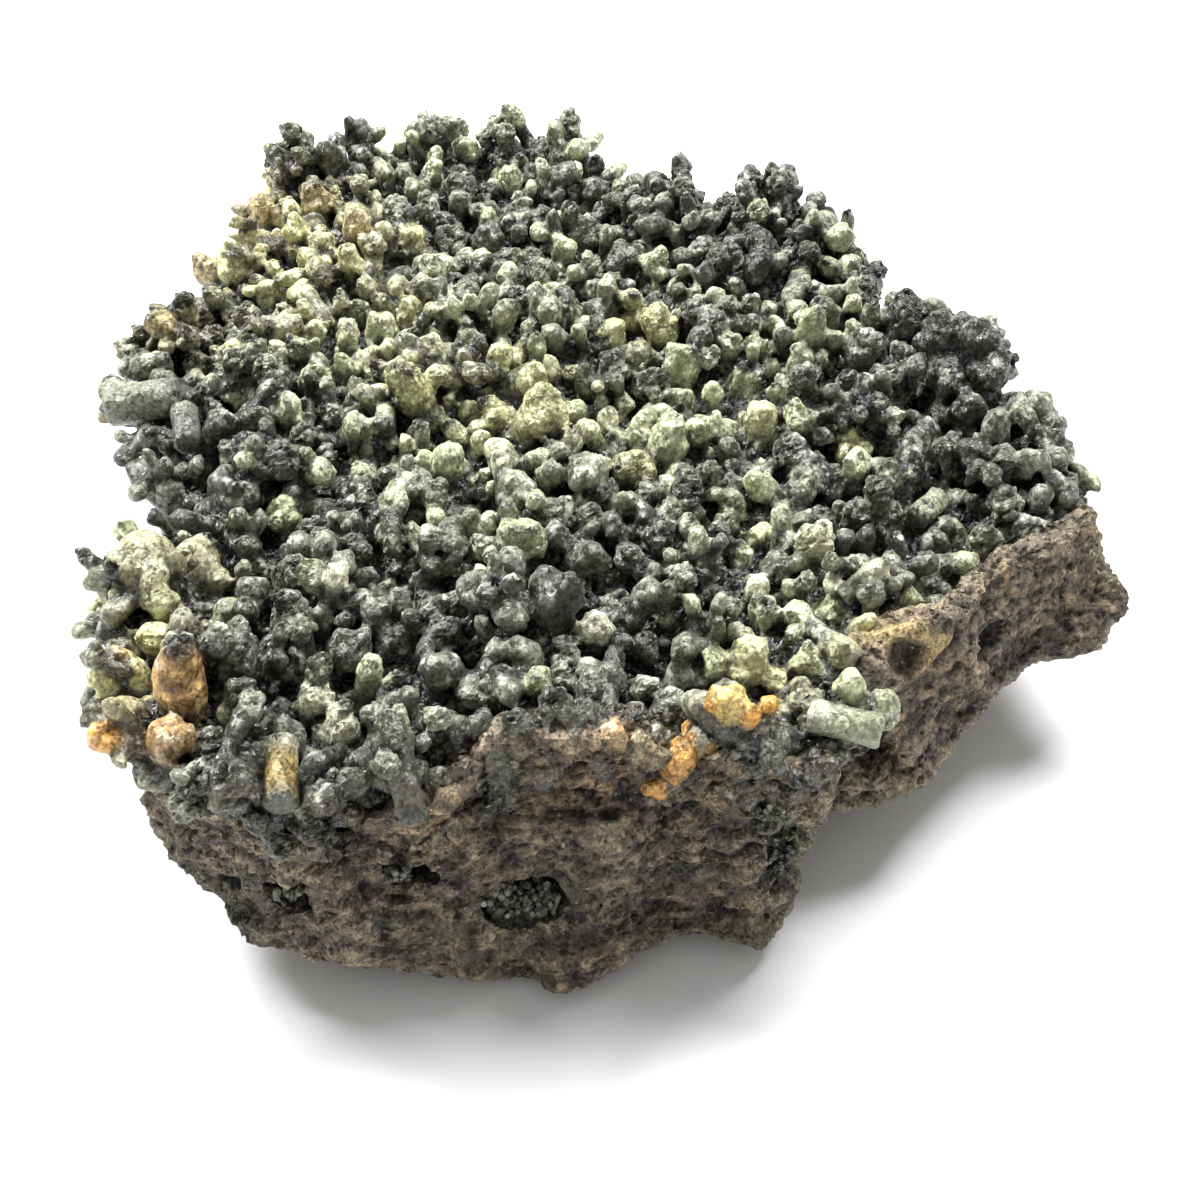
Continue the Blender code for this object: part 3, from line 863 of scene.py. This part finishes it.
def seen_at(druse, u, v):
    """Where a pixel of the photograph meets the solids, its ray and a pixel's size there."""
    origin, ray = CAMERA_AT, pixel_ray(u, v)
    hit, _, _, depth = druse.skin.ray_cast(Vector(origin), Vector(ray))
    on_rock, _, _, rock_depth = druse.rock.ray_cast(Vector(origin), Vector(ray))
    if hit is None or (on_rock is not None and rock_depth < depth):
        hit, depth = on_rock, rock_depth
    if hit is None:
        tried = [druse.skin.find_nearest(Vector(origin + ray * far)) for far in MISSED_DEPTHS]
        hit = min(tried, key=lambda found: found[3])[0]
        depth = (hit - Vector(origin)).length
    return np.array(hit), ray, depth / FOCAL


def column_ends(druse, column):
    """Both ends of a loose column, lifted onto the knobs, and its half width."""
    u0, v0, u1, v1, half, drop = column[:6]
    hit, ray, pixel = seen_at(druse, u0, v0)
    first = hit - ray * 0.9 * half * pixel
    return first, pixel_at_height(u1, v1, first[2] - drop), half * pixel


def grow_named(druse, growth, spots, shield):
    """The knobs that the eye picks out, where the photograph's pixels meet the solids."""
    rng = growth.rng
    for row in NAMED_KNOBS.split("\n")[1:-1]:
        u, v, half, name, lean_u, lean_v, kind = row.split()
        u, v, half, lean_u, lean_v = map(int, (u, v, half, lean_u, lean_v))
        hit, ray, pixel = seen_at(druse, u, v)
        radius = half * pixel
        direction = unit((lean_u, -0.25 * lean_v, 12.0 - 0.95 * lean_v))
        at = hit + ray * 0.25 * radius
        colour = np.array(COLOURS[name])
        mates = int(rng.integers(2, 5)) if kind == "lobed" else int(rng.integers(0, 3))
        looks = kind, colour, foot_colour(rng, colour), NAMED_ROUGH[kind]
        growth.add(at, direction, radius * 0.97, radius * 3.0, *looks, mates)
        spots.take(at, radius)
        shield.add(at, radius)
    for column in COLUMNS:
        first, last, radius = column_ends(druse, column)
        for share in np.linspace(0, 1, 6):
            shield.add(first + share * (last - first), radius)
    shield.add(seen_at(druse, *BOWL)[0] - 2 * pixel_ray(*BOWL), BOWL_SHIELD)


def random_knob(growth, at, direction, radius, has_mates):
    rng = growth.rng
    colour, pale = knob_colour(rng, at)
    odds = PALE_ODDS if pale > 0.4 else GREY_ODDS
    kind = rng.choice(list(odds), p=list(odds.values()))
    rough = ROUGH[kind] * (1.15 - 0.5 * pale)
    mates = int(rng.integers(0, 5)) if has_mates and kind != "smooth" else 0
    length = radius * rng.uniform(2.6, 4.2)
    looks = kind, colour, foot_colour(rng, colour), rough
    growth.add(at, direction, radius, length, *looks, mates)


def grow_rest(druse, growth, spots, shield):
    """All the other knobs, large ones first, with small ones in the gaps."""
    rng = growth.rng
    on_top = druse.places(PLACES_TRIED, rng, (druse.verts, druse.tris))
    on_core = druse.places(PLACES_TRIED, rng, druse.core)
    for size, places in ((BIG, on_top), (MIDDLE, on_top[::-1]), (SMALL, on_core)):
        low, high, count, closeness = size
        made = 0
        for point, normal, outer in places:
            if made == count:
                break
            radius = low + (high - low) * rng.random() ** 1.5
            if size is BIG and not outer and normal[2] < 0.4:
                continue
            direction = growth_way(rng, normal, outer)
            rise = -0.35 if size is BIG else rng.uniform(0.2, 1.2)
            at = point + direction * radius * rise
            if spots.free(at, radius, closeness) and not shield.hides(at, radius):
                spots.take(at, radius)
                random_knob(growth, at, direction, radius, size is not SMALL)
                made += 1


def grow_rim(druse, growth, spots, shield):
    """Crumbly knobs, brown with rock dust, on the rock's upper edge."""
    rng = growth.rng
    for point, normal, _ in druse.places(RIM_PLACES_TRIED, rng, druse.rock_skin, True):
        if point[2] < RIM_FROM or normal[2] < 0.1:
            continue
        gap = druse.skin.find_nearest(Vector(point))[3]
        wing = point[0] > WING_FROM
        if not 0.5 < gap < (WING_GAP if wing else RIM_GAP):
            continue
        radius = rng.uniform(0.6, 1.0 if wing else 1.7)
        at = point + normal * 0.15 * radius
        if not spots.free(at, radius, RIM_CLOSENESS) or shield.hides(at, radius):
            continue
        spots.take(at, radius)
        colour = mix(RIM * rng.uniform(0.5, 1.0), 0.7 * GREY, rng.random() ** 2)
        stain = min(1.0, patch_sum(pixels_of(at[None]), STAINS)[0])
        colour = mix(colour, STAIN, 0.8 * stain)
        direction = unit(normal + np.array([0, 0, 0.8]) + rng.normal(size=3) * 0.3)
        mates = int(rng.integers(0, 3))
        growth.add(at, direction, radius, radius * 1.6, "crumbly", colour, 0.7 * colour, 1.2, mates)


def lying_columns(druse, crystal):
    """Broken, six-sided columns, each laid on the knobs where the photograph shows it."""
    heap, tones = Heap(), []
    turn = np.linspace(0, 2 * math.pi, COLUMN_SIDES, endpoint=False)
    six = np.minimum(0.93 / np.cos((turn % (math.pi / 3)) - math.pi / 6), 1.02)
    for column in COLUMNS:
        first, last, radius = column_ends(druse, column)
        axes = frame_along(last - first, 0.3)
        length = np.linalg.norm(last - first)
        rings = []
        for share, out, tone in COLUMN_RINGS:
            rings.append(first + ring_points(turn, radius * six * out, length * share) @ axes)
            tones.append(np.tile(COLOURS[column[6 + tone]], (COLUMN_SIDES, 1)))
        heap.add(np.concatenate(rings), tube_faces(COLUMN_SIDES, len(COLUMN_RINGS)))
    verts, tris = heap.arrays()
    verts = verts + 0.20 * drift(verts, 1.3, 300)
    piece("lying_columns", verts, tris, np.concatenate(tones), True, crystal, "prehnite")


def owners(growth, verts):
    """Which knob each place of the skin belongs to, and how close it is to it."""
    balls = np.array(growth.balls)
    tree = KDTree(len(balls))
    for k, centre in enumerate(balls[:, :3]):
        tree.insert(centre, k)
    tree.balance()
    asked = 6
    near = np.array([[k for _, k, _ in tree.find_n(v, asked)] for v in verts.tolist()])
    gaps = np.linalg.norm(balls[near, :3] - verts[:, None], axis=2) / balls[near, 3]
    best = np.argmin(gaps, axis=1)
    row = np.arange(len(verts))
    return balls[near[row, best], 4].astype(int), gaps[row, best]


def druse_skin(druse, growth):
    """The skin around crust and knobs, without what lies hidden against the rock."""
    growth.heap.add(*druse.core)
    verts, tris = even_skin(*growth.heap.arrays(), SKIN_VOXEL)
    normals = vert_normals(verts, tris)
    tris, _ = without_hidden(verts, tris, normals[:, 2] < -0.2, druse.on_underside)
    return verts, tris, normals


def dress_druse(druse, growth, crystal):
    """The druse's skin, with its grains and colours, in four pieces."""
    verts, tris, normals = druse_skin(druse, growth)
    number, gap = owners(growth, verts)
    knobs = np.array(growth.knobs)[number]
    along = np.einsum("ij,ij->i", verts - knobs[:, AT], knobs[:, WAY]) / knobs[:, WIDE]
    headward = smooth_step(-1.3, 0.1, along)
    ground = smooth_step(1.15, 1.6, gap)
    rough = knobs[:, GRAINY] * (0.35 + 0.65 * headward) * (1 - ground) + 1.3 * ground

    near, name, tilt = grains(verts, DRUSE_GRAIN, 20)
    fine_name = hashed(np.floor(verts / DRUSE_SUGAR).astype(np.int64), 120)
    lift = rough * (0.30 - 0.60 * near**2 + 0.50 * tilt + 0.10 * fine_name)
    lift += 0.25 * soft_noise(verts, 3.2, 31) + 0.12 * soft_noise(verts, 1.3, 35)
    verts = verts + normals * lift[:, None]

    tone = mix(knobs[:, FOOT], knobs[:, HEAD], headward)
    # The ground between the knobs: dark druse with painted shade, darkest where its grains meet.
    tone = mix(tone, mix(CREVICE_SHADE, STALK * 1.2, np.clip(1.1 - near, 0, 1)), ground)
    # Painted shade: darker in the creases where the grains meet.
    crease_shade = smooth_step(0.45, 0.95, near) * np.clip(rough, 0, 1)
    tone = tone * (1 - 0.45 * crease_shade)[:, None]
    tone = tone * (0.72 + 0.56 * name)[:, None] * (0.85 + 0.30 * fine_name)[:, None]
    # Whitish frost with painted highlight: some grains lighter on their upward faces.
    frost_and_glint = smooth_step(-0.2, 0.6, soft_noise(verts, 3.0, 200))
    frost_and_glint = smooth_step(0.0, 0.8, normals[:, 2]) * frost_and_glint * (name > 0.72)
    tone = mix(tone, np.maximum(tone, FROST_AND_GLINT), 0.75 * frost_and_glint)
    pixels = pixels_of(verts)
    tan = patch_share(pixels, TAN_PATCHES)
    tone = mix(tone, tone * np.array([1.4, 1.2, 0.8]), 0.5 * tan)
    dust = patch_share(pixels, DUST) * smooth_step(0.1, -0.5, normals[:, 1])
    tone = mix(tone, RIM * (0.6 + 0.8 * name)[:, None], 0.8 * dust)
    # Painted shade in the creases and gaps, painted light on the crests and edges.
    tone = tone * cavity_shade(verts, tris, 0.92)[:, None] * (1.0, 1.0, 0.93)
    tone = tone * np.clip((tone.mean(axis=1, keepdims=True) / 0.28) ** 0.42, 0, 1.12)
    druse_strips(verts, tris, tone, rough, crystal)


def druse_strips(verts, tris, tone, rough, crystal):
    """The druse's skin as four pieces, side by side along x."""
    across = verts[tris].mean(axis=1)[:, 0]
    strip = np.searchsorted(np.quantile(across, (0.25, 0.5, 0.75)), across)
    smooth = rough[tris].mean(axis=1) < 0.5
    for k in range(4):
        part = strip == k
        made = piece(f"druse_{k + 1}", verts, tris[part], tone, smooth[part], crystal, "prehnite")
        if k == 0:
            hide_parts("prehnite_druse")


def hollow_crystal(at, normal, rng):
    """One small crystal on a wall: its points, and the colour of its foot, side and top; the foot is
    darkened with painted shade.
    """
    way = np.array(normal) + (0, -0.3, 0.8) + rng.normal(size=3) * 0.35
    axes = frame_along(way, rng.uniform(0, 1))
    radius, length = rng.uniform(*CRYSTAL_WIDE), rng.uniform(*CRYSTAL_LONG)
    turn = np.linspace(0, 2 * math.pi, 6, endpoint=False)
    rings = []
    for along, out in ((-0.8, 1.0), (length * 0.9, 1.0), (length, 0.72)):
        rings.append(np.array(at) + ring_points(turn, radius * out, along) @ axes)
    colour = mix(STALK, PALE, rng.random() * 0.6) * rng.uniform(0.6, 1.1)
    # Painted shade: the foot, where the crystal meets the wall, at 0.3 of its colour; the top
    # lighter.
    return np.concatenate(rings), np.repeat([colour * 0.3, colour, colour * 1.2], 6, axis=0)


def cavity_crystals(druse, crystal, rng):
    """Small crystals that stand on the walls of the hollows in the rock's front."""
    heap, tones = Heap(), []
    faces = tube_faces(6, 3, first_cap=False)
    for u, v, wide, high, count in ROCK_DRUSES:
        for _ in range(count):
            angle, out = rng.uniform(0, 2 * math.pi), math.sqrt(rng.random())
            ray = pixel_ray(u + wide * out * math.cos(angle), v + high * out * math.sin(angle))
            hit, normal, _, _ = druse.rock.ray_cast(Vector(CAMERA_AT), Vector(ray))
            if hit is not None:
                verts, colours = hollow_crystal(hit, normal, rng)
                heap.add(verts, faces)
                tones.append(colours)
    piece("rock_crystals", *heap.arrays(), np.concatenate(tones), False, crystal, "prehnite")


def pits(points, size, salt, reach, rare):
    """Scattered pits: 1 in the middle of each, 0 around it."""
    near, name, _ = grains(points, size, salt)
    return smooth_step(*reach, near) * (name > rare)


class RockSkin:
    """The host rock's skin: chipped, pitted and grainy, with the bowl in its edge."""

    def __init__(self, druse):
        self.verts, tris = even_skin(*druse.rock_skin, ROCK_VOXEL)
        self.normals = vert_normals(self.verts, tris)
        facing = self.normals[:, 2] > 0.2
        self.tris, self.hidden = without_hidden(self.verts, tris, facing, druse.covers)
        self.pixels = pixels_of(self.verts)
        self.roughen()
        self.shape_bowl(seen_at(druse, *BOWL)[0])

    def roughen(self):
        """Ledges, chips, grains and pits, and how far they lift the skin."""
        verts = self.verts
        warp = 1.6 * drift(verts, 4.0, 80)
        stretched = verts * (0.45, 0.7, 1.7) + 0.25 * verts[:, [2, 0, 1]]
        self.ledges = 1 - 2 * np.abs(layered_noise(stretched, 5.0, 51))
        _, self.chip, tilt = grains(verts + 0.3 * warp, ROCK_CHIP, 61)
        _, self.grain, fine_tilt = grains(verts, ROCK_GRAIN, 161)
        patchy = smooth_step(-0.3, 0.5, soft_noise(verts, 11.0, 97))
        patchy = np.maximum(patchy, 0.9 * smooth_step(480, 330, self.pixels[:, 0]))
        large = pits((verts + warp) * (0.8, 1, 1.6), ROCK_PIT, 71, (0.34, 0.14), 0.72) * patchy
        small = pits((verts + warp) * (0.8, 1, 1.5), ROCK_SMALL_PIT, 76, (0.36, 0.22), 0.55)
        small = small * patchy
        lift = 0.8 * layered_noise(verts, 12.0, 41) + 0.40 * self.ledges
        lift = lift + (0.25 + 0.25 * patchy) * tilt + 0.60 * fine_tilt
        self.lift = lift - 1.5 * large - 0.8 * small
        self.pitted = np.clip(large + 0.7 * small, 0, 1)

    def shape_bowl(self, middle):
        """A hollow with a raised wall around it."""
        away = np.linalg.norm((self.verts - middle) / BOWL_SIZE, axis=1)
        away += 0.28 * soft_noise(self.verts, 4.5, 98)
        self.wall = np.exp(-(((away - 0.85) / 0.25) ** 2))
        self.pan = smooth_step(0.75, 0.25, away)
        self.back = smooth_step(-0.5, 0.5, (self.verts[:, 1] - middle[1]) / BOWL_SIZE[1])
        self.lift = self.lift * (0.5 + 0.5 * smooth_step(0.9, 1.4, away))
        self.lift = self.lift + 0.8 * self.wall - 0.9 * self.pan

    def lifted(self):
        """The skin's points, lifted everywhere but at the base and under the druse."""
        keep = np.clip(self.verts[:, 2] / 3.0, 0, 1) * np.where(self.hidden, 0, 1)
        moved = self.verts + self.normals * (self.lift * keep)[:, None]
        moved[:, 2] = np.maximum(moved[:, 2], 0.0)
        return moved

    def tones(self):
        cloud = layered_noise(self.verts, 2.2, 91)
        light = np.clip(0.5 + 0.45 * cloud + 0.25 * self.ledges, 0, 1)
        tone = mix(ROCK_DARK, ROCK_LIGHT, light)
        # Painted shade in the rock's hollows, with a greenish tint.
        hollow_tint_and_shade = patch_share(self.pixels, SHADED_ROCK_HOLLOWS)
        tone = mix(tone, tone * (0.50, 0.58, 0.50), hollow_tint_and_shade)
        green = smooth_step(0.25, 0.75, soft_noise(self.verts, 14.0, 95))
        tone = mix(tone, tone * (0.78, 0.88, 0.82), green)
        front = smooth_step(0.2, -0.2, self.normals[:, 1])
        stain = patch_share(self.pixels, STAINS) * front * smooth_step(-0.5, 0.4, cloud)
        tone = mix(tone, STAIN * (0.6 + 0.8 * self.grain)[:, None], 0.85 * stain)
        # Painted shade: the pits darker.
        tone = mix(tone, ROCK_DARK * 0.5, self.pitted * 0.8)
        tone = tone * (0.80 + 0.40 * self.chip)[:, None] * (0.65 + 0.7 * self.grain)[:, None]
        ochre = 0.9 * self.wall * self.back * smooth_step(-1.2, -0.2, cloud)
        tone = mix(tone, STAIN * (1.1, 1.3, 1.5), ochre)
        # Painted shade: the bowl's floor darker brown.
        return mix(tone, STAIN * (0.25, 0.22, 0.25), 0.85 * self.pan)


def dress_rock(druse, stone):
    rock = RockSkin(druse)
    verts = rock.lifted()
    # Painted shade in the rock's creases and gaps, painted light on its crests and edges.
    tone = rock.tones() * cavity_shade(verts, rock.tris, 0.55)[:, None]
    made = piece("rock_skin", verts, rock.tris, tone, False, stone, "host_rock")
    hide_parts("matrix")


# Materials.
def node(tree, kind, *sources, **values):
    """A new node, with its first inputs linked and its other values set."""
    made = tree.nodes.new("ShaderNode" + kind)
    for key, value in values.items():
        if key in made.inputs:
            made.inputs[key].default_value = value
        else:
            setattr(made, key, value)
    for place, source in enumerate(sources):
        tree.links.new(source, made.inputs[place])
    return made


def remap(tree, value, low, high, to_low, to_high):
    made = node(tree, "MapRange", value)
    ends = {"From Min": low, "From Max": high, "To Min": to_low, "To Max": to_high}
    for key, number in ends.items():
        made.inputs[key].default_value = number
    return made.outputs["Result"]


def faceted_normal(tree, place, normal, scale, strength):
    """A normal that is tilted by its own amount in every small grain."""
    colour = node(tree, "TexVoronoi", place, Scale=scale).outputs["Color"]
    centred = node(tree, "VectorMath", colour, operation="SUBTRACT")
    centred.inputs[1].default_value = (0.5, 0.5, 0.5)
    way = centred.outputs["Vector"]
    tilt = node(tree, "VectorMath", way, operation="SCALE", Scale=strength)
    added = node(tree, "VectorMath", normal, tilt.outputs["Vector"], operation="ADD")
    even = node(tree, "VectorMath", added.outputs["Vector"], operation="NORMALIZE")
    return even.outputs["Vector"], colour


def grainy_colour(tree, place, glint_speckle, mottling, cracks):
    """The piece's own colours, mottled and cracked, with pale specks of painted glint."""
    link = tree.links.new
    tint = node(tree, "Attribute", attribute_name="tint").outputs["Color"]
    mottle = node(tree, "TexNoise", place, Scale=MOTTLE_SCALE, Detail=3.0, Roughness=0.65)
    shade = remap(tree, mottle.outputs["Fac"], 0.34, 0.66, 1 - mottling, 1 + mottling)
    edges = node(tree, "TexVoronoi", place, feature="DISTANCE_TO_EDGE", Scale=GRAIN_SCALE)
    seam = remap(tree, edges.outputs["Distance"], 0.0, 0.22, 1 - cracks, 1.0)
    both = node(tree, "Math", shade, seam, operation="MULTIPLY")
    times = node(tree, "VectorMath", tint, operation="SCALE")
    link(both.outputs["Value"], times.inputs["Scale"])
    # Painted glints: pale specks mixed into the colour.
    glint_specks = node(tree, "TexVoronoi", place, Scale=GLINT_SPECK_SCALE)
    chance = remap(tree, glint_specks.outputs["Color"], 1 - glint_speckle, 1.0, 0.0, 0.7)
    mixed = node(tree, "Mix", data_type="RGBA")
    link(chance, mixed.inputs["Factor"])
    link(times.outputs["Vector"], mixed.inputs["A"])
    mixed.inputs["B"].default_value = GLINT_SPECK
    return mixed.outputs["Result"]


def new_material(name):
    material = bpy.data.materials.new(name)
    material.use_nodes = True
    return material, material.node_tree.nodes["Principled BSDF"]


def stone_material(name, facet, glint_speckle, roughness, bump_height, mottling, cracks):
    """Crystal or rock: its own colour with fine grains, specks of painted glint and a broken gloss.
    """
    material, shader = new_material(name)
    tree = material.node_tree
    link = tree.links.new
    place = node(tree, "TexCoord").outputs["Object"]
    own = node(tree, "NewGeometry").outputs["Normal"]
    broad, _ = faceted_normal(tree, place, own, GRAIN_SCALE, facet)
    finer, weaker = FINE_FACETS
    normal, cells = faceted_normal(tree, place, broad, finer * GRAIN_SCALE, weaker * facet)
    fine = node(tree, "TexNoise", place, Scale=BUMP_SCALE, Detail=2.0, Roughness=0.6)
    bump = node(tree, "Bump", Strength=0.6, Distance=bump_height)
    link(fine.outputs["Fac"], bump.inputs["Height"])
    link(normal, bump.inputs["Normal"])
    link(bump.outputs["Normal"], shader.inputs["Normal"])
    link(grainy_colour(tree, place, glint_speckle, mottling, cracks), shader.inputs["Base Color"])
    link(remap(tree, cells, 0, 1, *roughness), shader.inputs["Roughness"])
    shader.inputs["IOR"].default_value = REFRACTION
    return material


# Stage.
def floor():
    mesh = bpy.data.meshes.new("floor")
    corners = [(x * FLOOR_HALF, y * FLOOR_HALF, 0) for x, y in ((-1, -1), (1, -1), (1, 1), (-1, 1))]
    mesh.from_pydata(corners, [], [(0, 1, 2, 3)])
    obj = put("floor", mesh)
    material, shader = new_material("white_paper")
    shader.inputs["Base Color"].default_value = (FLOOR_TONE, FLOOR_TONE, FLOOR_TONE, 1)
    shader.inputs["Roughness"].default_value = 0.9
    mesh.materials.append(material)


def window_light(at, power):
    light = bpy.data.lights.new("window", "AREA")
    light.shape = "RECTANGLE"
    light.size = light.size_y = WINDOW_SIZE
    light.energy = power
    obj = put("window", light)
    obj.location = at
    obj.rotation_euler = (-Vector(at)).to_track_quat("-Z", "Y").to_euler()


def stage():
    floor()
    scene = bpy.context.scene
    world = bpy.data.worlds.new("world")
    scene.world = world
    world.use_nodes = True
    background = world.node_tree.nodes["Background"]
    background.inputs["Color"].default_value = SKY
    background.inputs["Strength"].default_value = SKY_STRENGTH
    for at, power in WINDOWS:
        window_light(at, power)
    scene.view_settings.view_transform = "Standard"
    camera = bpy.data.cameras.new("camera")
    camera.sensor_width = SENSOR
    camera.lens = SENSOR / 2 / math.tan(math.radians(CAMERA_FIELD / 2))
    camera.clip_start = 0.01
    obj = put("camera", camera)
    obj.location = CAMERA_AT * MM
    obj.rotation_euler = (math.radians(90 - CAMERA_DOWN), 0, 0)
    scene.camera = obj


def build():
    rng = np.random.default_rng(SEED)
    druse = Druse()
    growth, spots, shield = Growth(rng), Spots(SPOT_STEP), Shield()
    for grow in (grow_named, grow_rest, grow_rim):
        grow(druse, growth, spots, shield)
    crystal = stone_material("prehnite_crystal", **CRYSTAL_LOOK)
    stone = stone_material("host_rock_stone", **STONE_LOOK)
    dress_druse(druse, growth, crystal)
    lying_columns(druse, crystal)
    cavity_crystals(druse, crystal, rng)
    dress_rock(druse, stone)
    stage()


build()
